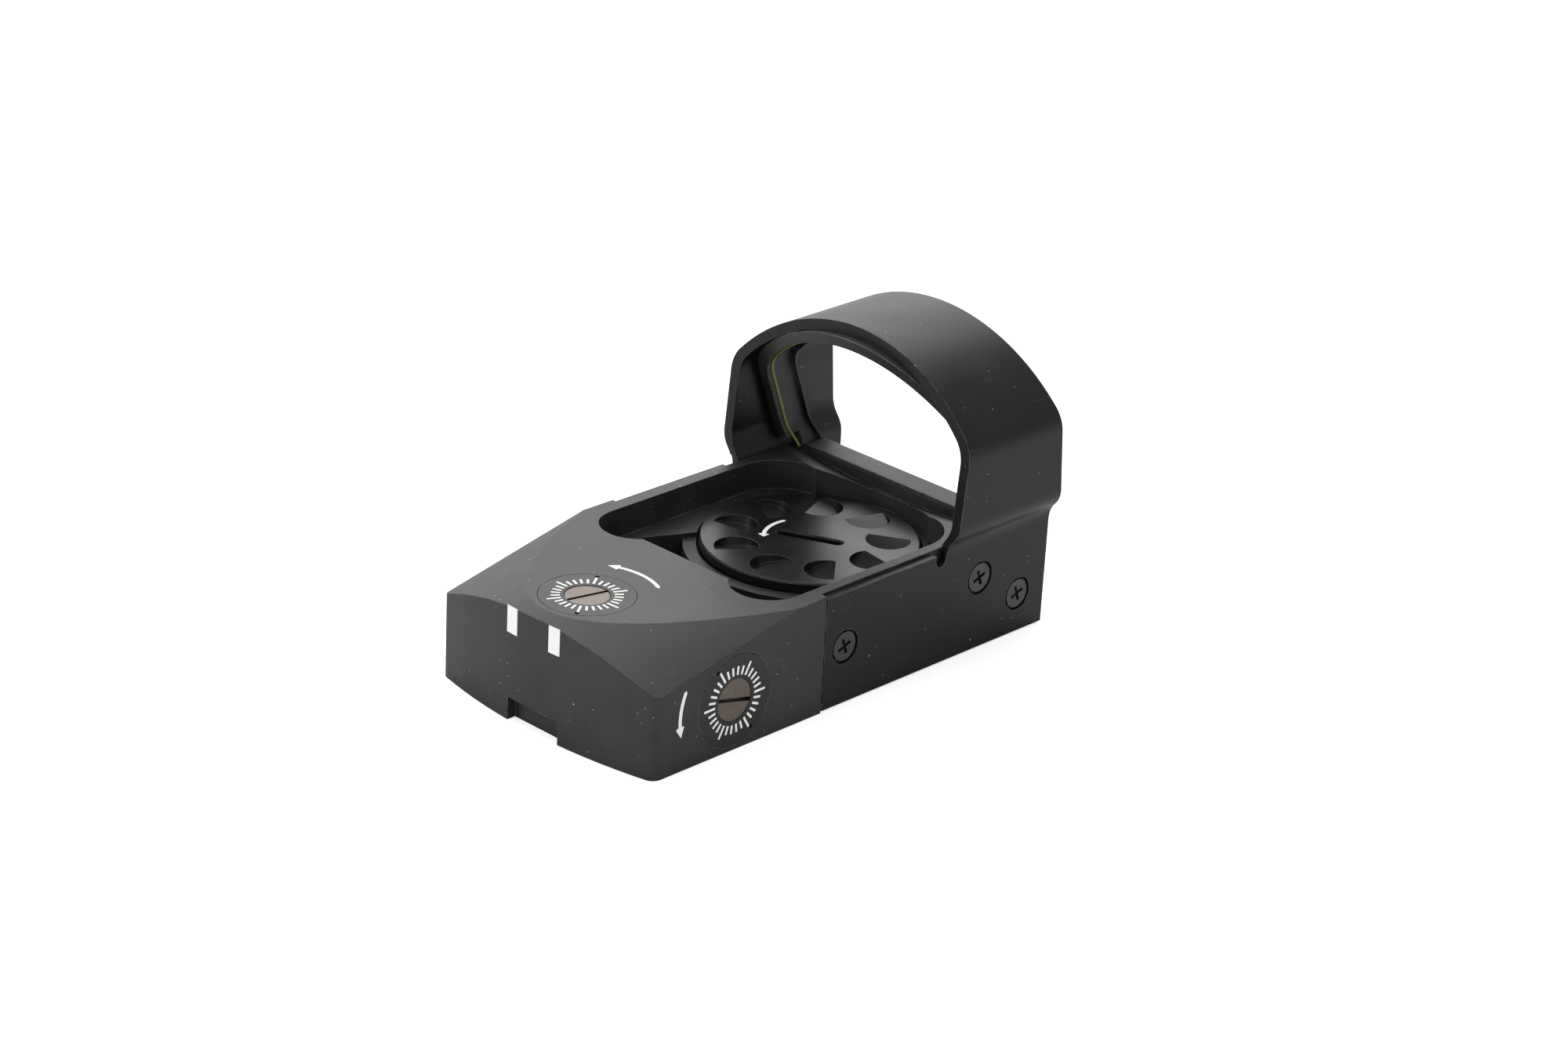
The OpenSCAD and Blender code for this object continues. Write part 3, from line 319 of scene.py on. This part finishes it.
FINISHES = {
    "anodised_chassis": anodised("anodised_chassis", (0.036, 0.036, 0.035), 0.44),
    # The hood's near-black tone is partly its own darker finish and partly painted darkening, lowered for its
    # sides that face away from the lamps.
    "anodised_hood": anodised("anodised_hood", (0.008, 0.008, 0.0085), 0.36, gloss=0.33),
    "coated_glass": lens_glass("coated_glass", (0.4, 0.48, 0.44)),
    "black_adhesive": moulded("black_adhesive", (0.02, 0.02, 0.02), 0.35),
    "cap_black": gloss_black("cap_black"),
    "seal_rubber": moulded("seal_rubber", (0.02, 0.02, 0.02), 0.5),
    "spring_steel": turned_metal("spring_steel", (0.6, 0.6, 0.6), 0.3),
    "cell_steel": turned_metal("cell_steel", (0.72, 0.72, 0.7), 0.28),
    "black_nylon": moulded("black_nylon", (0.045, 0.045, 0.05), 0.5),
    "gold_contact": turned_metal("gold_contact", (0.8, 0.62, 0.28), 0.3),
    "adjuster_steel": turned_metal("adjuster_steel", (0.24, 0.205, 0.18), 0.42),
    "dial_black": anodised("dial_black", (0.026, 0.026, 0.026), 0.42, edge_wear_and_highlight=0.2, dust=0.3),
    "brass": turned_metal("brass", (0.72, 0.55, 0.26), 0.34),
    "flex_film": moulded("flex_film", (0.6, 0.3, 0.06), 0.35),
    "board_green": moulded("board_green", (0.02, 0.16, 0.06), 0.4),
    "button_rubber": moulded("button_rubber", (0.03, 0.03, 0.03), 0.62, grain=0.006),
    "plunger_nylon": moulded("plunger_nylon", (0.75, 0.74, 0.7), 0.5),
    "screw_black": turned_metal("screw_black", (0.1, 0.1, 0.1), 0.34, metallic=0.75),
    "cover_black": moulded("cover_black", (0.035, 0.035, 0.038), 0.55, grain=0.006),
}
WHITE_PAINT = paint("white_paint")

for part in frame["record"]["subparts"]:
    solid = NODES[part["node"]]
    solid.data.materials.clear()
    solid.data.materials.append(FINISHES[part["material_slot"]])


# ---------------------------------------------------------------- surfaces
def piece(name, points, faces, material, body, slot):
    """A flat-shaded mesh from arrays of points (mm) and faces, riding on a body."""
    mesh = bpy.data.meshes.new(name)
    mesh.from_pydata((np.asarray(points, float) * MM).tolist(), [], np.asarray(faces).tolist())
    mesh.polygons.foreach_set("use_smooth", np.zeros(len(mesh.polygons), bool))
    mesh.materials.append(material)
    mesh.update()
    made = bpy.data.objects.new(name, mesh)
    bpy.context.scene.collection.objects.link(made)
    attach(made, body)
    return made


def grid_faces(rows, columns, wrap=False):
    """Quads between neighbouring points of a grid; wrap closes its columns into a ring."""
    row, column = np.meshgrid(np.arange(rows - 1), np.arange(columns if wrap else columns - 1), indexing="ij")
    following = (column + 1) % columns
    corners = (row * columns + column, row * columns + following,
               (row + 1) * columns + following, (row + 1) * columns + column)
    return np.stack(corners, -1).reshape(-1, 4)


def on_flat(u, v, lift):
    """Flat top: u across, v forwards, lift upwards."""
    return np.stack([u, v, DECK_Z + lift], -1)


def on_right_side(u, v, lift):
    """Right side face: u forwards, v upwards, lift outwards."""
    return np.stack([HALF_W + lift, u, v], -1)


def on_rear(u, v, lift):
    """Bulged rear face: u across, v upwards; y from the circle of the face's radius."""
    bulge = REAR + REAR_FACE_R - np.sqrt(REAR_FACE_R ** 2 - u ** 2)
    return np.stack([u, bulge - lift, v], -1)


def on_cap(u, v, lift):
    """Top of the battery cap, u and v from its centre."""
    return np.stack([u, CAP_LINE + v, CAP_TOP + lift], -1)


def film(outline, surface, rows=2):
    """A closed thin film of paint. outline(s, t) gives its two plan coordinates for s and t from 0 to 1."""
    s, t = np.meshgrid(np.linspace(0, 1, PAINT_STEPS), np.linspace(0, 1, rows), indexing="ij")
    u, v = outline(s, t)
    top = surface(u, v, np.full_like(u, PAINT)).reshape(-1, 3)
    low = surface(u, v, np.full_like(u, -PAINT_SINK)).reshape(-1, 3)
    faces = grid_faces(PAINT_STEPS, rows)
    count = len(top)
    index = np.arange(count).reshape(PAINT_STEPS, rows)
    rim = np.concatenate([index[:, 0], index[-1, 1:], index[-2::-1, -1], index[0, -2:0:-1]])
    after = np.roll(rim, -1)
    walls = np.stack([rim, after, after + count, rim + count], -1)
    return np.concatenate([top, low]), np.concatenate([faces, faces[:, ::-1] + count, walls[:, ::-1]])


def joined(parts):
    """Points and faces of several pieces as one."""
    points, faces, start = [], [], 0
    for some, quads in parts:
        points.append(some)
        faces.append(quads + start)
        start += len(some)
    return np.concatenate(points), np.concatenate(faces)


def outward(made):
    """Turns the piece's faces outwards."""
    shape = bmesh.new()
    shape.from_mesh(made.data)
    bmesh.ops.remove_doubles(shape, verts=shape.verts, dist=1e-9)
    bmesh.ops.recalc_face_normals(shape, faces=shape.faces)
    shape.to_mesh(made.data)
    shape.free()
    return made


def tick(angle, inner, outer, width, centre):
    """A radial bar at an angle, from the inner to the outer radius, square across."""
    def outline(s, t):
        along = inner + (outer - inner) * s
        across = width * (t - 0.5)
        return (centre[0] + along * math.cos(angle) - across * math.sin(angle),
                centre[1] + along * math.sin(angle) + across * math.cos(angle))
    return outline


def arc_arrow(centre, radius, start, end, width, head_length, head_width):
    """A bar along an arc that widens into an arrow head over its last head_length."""
    total = radius * math.radians(end - start)
    sense = math.copysign(1.0, total)
    share = 1.0 - head_length / abs(total)

    def outline(s, t):
        in_bar = s < ARROW_BAR_SHARE
        through_head = (s - ARROW_BAR_SHARE) / (1 - ARROW_BAR_SHARE)
        bent = np.where(in_bar, s / ARROW_BAR_SHARE * share, share + through_head * (1 - share))
        half = np.where(in_bar, width / 2 * np.sqrt(np.clip(s / 0.03, 0, 1)), head_width / 2 * (1 - through_head))
        angle = math.radians(start) + bent * math.radians(end - start)
        distance = radius + (t - 0.5) * 2 * half * sense
        return centre[0] + distance * np.cos(angle), centre[1] + distance * np.sin(angle)
    return outline


def dial_ticks(centre, surface, name, body, turn):
    """Radial marks round an adjuster, every fifth one longer."""
    marks = []
    for count in range(TICKS):
        angle = math.radians(turn + count * 360 / TICKS)
        outer = TICK_LONG if count % 5 == 0 else TICK_SHORT
        marks.append(film(tick(angle, TICK_INNER, outer, TICK_W, centre), surface))
    outward(piece(name, *joined(marks), WHITE_PAINT, body, "dial_black"))


dial_ticks(ELEVATION, on_flat, "elevation_scale", "chassis", 4.0)
dial_ticks(WINDAGE, on_right_side, "windage_scale", "chassis", 1.0)


def mark(name, outline, surface, body, slot):
    """One painted mark on a surface."""
    outward(piece(name, *film(outline, surface, rows=5), WHITE_PAINT, body, slot))


mark("elevation_arrow", arc_arrow(ELEVATION, 6.05, 62, 121, ARROW_W, ARROW_HEAD_L, ARROW_HEAD_W), on_flat,
     "chassis", "anodised_chassis")
mark("windage_arrow", arc_arrow(WINDAGE, 6.1, 155, 194, ARROW_W, ARROW_HEAD_L, ARROW_HEAD_W), on_right_side,
     "chassis", "anodised_chassis")
mark("cap_arrow", arc_arrow((0.0, 0.0), 3.97, 166, 228.5, 0.36, 0.62, 1.05), on_cap, "cap", "cap_black")


def bar(left, right, low, high):
    """A plain upright rectangle."""
    def outline(s, t):
        return left + (right - left) * t, low + (high - low) * s
    return outline


for bar_name, bar_left in BARS.items():
    mark(bar_name, bar(bar_left, bar_left + BAR_W, BAR_LOW, BAR_HIGH), on_rear, "chassis", "anodised_chassis")


def window_rim(count):
    """Outline of the glass seen from behind, from its left foot over the arch: x and z.

    Flare: two equal arcs of radius (step^2 + height^2) / (4 step); then a straight side, a shoulder
    of radius SHOULDER_R and the arch about the point (0, ARCH_Z).
    """
    low, high = FLARE_X
    foot, top = FLARE_Z
    flare_r = ((high - low) ** 2 + (top - foot) ** 2) / (4 * (high - low))
    z = np.linspace(GLASS_FOOT, top, count)
    hollow = low + flare_r - np.sqrt(np.maximum(flare_r ** 2 - (z - foot) ** 2, 0))
    round_out = high - flare_r + np.sqrt(flare_r ** 2 - (top - z) ** 2)
    flank = np.stack([-np.where(z < (foot + top) / 2, hollow, round_out), z], -1)
    shoulder_z = ARCH_Z + math.sqrt((ARCH_R - SHOULDER_R) ** 2 - (high - SHOULDER_R) ** 2)
    corner = math.atan2(shoulder_z - ARCH_Z, SHOULDER_R - high)
    turn = np.linspace(math.pi, corner, count)
    shoulder = np.stack([SHOULDER_R - high + SHOULDER_R * np.cos(turn),
                         shoulder_z + SHOULDER_R * np.sin(turn)], -1)
    sweep = np.linspace(corner, math.radians(BEVEL_END), 2 * count)[1:]
    arch = np.stack([ARCH_R * np.cos(sweep), ARCH_Z + ARCH_R * np.sin(sweep)], -1)
    return np.concatenate([flank, shoulder, arch])


def glass_edge_line():
    """The bright bevel where the coated glass meets its rim: a thin strip along the outline, its yellow-green
    colour a painted glint of the glass edge.
    """
    rim = window_rim(BEVEL_STEPS)
    along = np.gradient(rim, axis=0)
    along /= np.linalg.norm(along, axis=1, keepdims=True)
    inwards = np.stack([along[:, 1], -along[:, 0]], -1)
    near, far = BEVEL_BACK
    corners = []
    for inset, back in ((0.0, near), (BEVEL_W, near), (BEVEL_W, far), (0.0, far)):
        x, z = (rim + inwards * inset).T
        y = GLASS_REAR_Y - back - (z - GLASS_FOOT) * math.tan(math.radians(GLASS_TILT))
        corners.append(np.stack([x, y, z], -1))
    points = np.stack(corners, 1).reshape(-1, 3)
    faces = grid_faces(len(rim), 4, wrap=True)
    last = 4 * (len(rim) - 1)
    ends = np.array([[3, 2, 1, 0], [last, last + 1, last + 2, last + 3]])
    # The strip's yellow-green colour is a painted glint on the glass bevel.
    outward(piece("glass_edge_line", points, np.concatenate([faces, ends]),
                  moulded("painted_edge_glint", (0.3, 0.29, 0.05), 0.3), "chassis", "coated_glass"))


glass_edge_line()


# ---------------------------------------------------------------- studio
def camera():
    """A long lens behind the right rear corner, level but for a slight roll."""
    place = Vector(VIEW_PLACE) * MM
    target = Vector(VIEW_AIM) * MM
    away = (place - target).normalized()
    level = Vector((0, 0, 1)).cross(away).normalized()
    upright = away.cross(level)
    roll = math.radians(VIEW_ROLL)
    right = level * math.cos(roll) + upright * math.sin(roll)
    up = upright * math.cos(roll) - level * math.sin(roll)
    data = bpy.data.cameras.new("view")
    data.sensor_width = 36.0
    data.lens = VIEW_LENS
    data.clip_start = 0.01
    data.clip_end = 20.0
    made = bpy.data.objects.new("view", data)
    turn = Matrix((right, up, away)).transposed().to_4x4()
    made.matrix_world = Matrix.Translation(place) @ turn
    bpy.context.scene.collection.objects.link(made)
    bpy.context.scene.camera = made


def softbox(name, place, aim, size, power):
    """A square lamp that faces the aim point; places and size in metres, power in watts."""
    data = bpy.data.lights.new(name, "AREA")
    data.shape = "RECTANGLE"
    data.size, data.size_y = size
    data.energy = power
    made = bpy.data.objects.new(name, data)
    made.location = place
    made.rotation_mode = "QUATERNION"
    made.rotation_quaternion = (Vector(aim) - Vector(place)).to_track_quat("-Z", "Y")
    bpy.context.scene.collection.objects.link(made)


def surroundings():
    """White wherever it is seen directly or through glass, and a little brighter in gloss; soft grey light
    elsewhere.
    """
    world = bpy.data.worlds.new("studio")
    bpy.context.scene.world = world
    world.use_nodes = True
    nodes = Nodes(world.node_tree)
    path = nodes.add("ShaderNodeLightPath")
    camera_ray, through_ray, gloss_ray = (
        Flow(nodes, path.outputs[f"Is {kind} Ray"]) for kind in ("Camera", "Transmission", "Glossy"))
    seen = camera_ray.most(through_ray).most(gloss_ray * 0.1)
    strength = nodes.add("ShaderNodeMapRange", {}, {"Value": seen, "To Min": 0.42, "To Max": 1.0})
    background = world.node_tree.nodes["Background"]
    nodes.plug(background.inputs["Color"], (1.0, 1.0, 1.0))
    nodes.plug(background.inputs["Strength"], strength.outputs[0])


def floor():
    """A wide pale sheet, a hair under the sight, that keeps its shadow."""
    half = FLOOR_HALF
    points = np.array([[x, y, FLOOR_Z] for x, y in ((-half, -half), (half, -half), (half, half), (-half, half))])
    mesh = bpy.data.meshes.new("floor")
    mesh.from_pydata((points * MM).tolist(), [], [[0, 1, 2, 3]])
    finish = Finish("floor_paper", base_color=(0.93, 0.93, 0.93), roughness=0.9, specular_ior_level=0.1)
    glow = finish.add("ShaderNodeEmission", {}, {"Color": (1.0, 1.0, 1.0), "Strength": 0.7})
    path = finish.add("ShaderNodeLightPath")
    seen = Flow(finish, path.outputs["Is Camera Ray"]) + Flow(finish, path.outputs["Is Transmission Ray"])
    unlit = finish.add("ShaderNodeEmission", {}, {"Color": (0.0, 0.0, 0.0), "Strength": 0.0})
    choice = finish.add("ShaderNodeMixShader", {}, {0: seen.clip(), 1: unlit.outputs[0], 2: glow.outputs[0]})
    total = finish.add("ShaderNodeAddShader", {}, {0: finish.shader.outputs[0], 1: choice.outputs[0]})
    output = finish.tree.nodes["Material Output"]
    finish.tree.links.new(total.outputs[0], output.inputs["Surface"])
    mesh.materials.append(finish.material)
    made = bpy.data.objects.new("floor", mesh)
    bpy.context.scene.collection.objects.link(made)


camera()
surroundings()
floor()
softbox("backdrop", (-0.62, 0.60, 0.42), (0, 0, 0.005), (1.0, 0.7), 3.3)
softbox("overhead", (-0.25, 0.15, 0.75), (0, 0, 0), (0.8, 0.8), 3.0)
softbox("rear_fill", (-0.45, -0.8, 0.35), (0, 0, 0.01), (0.5, 0.5), 1.6)
bpy.context.scene.view_settings.view_transform = "Standard"
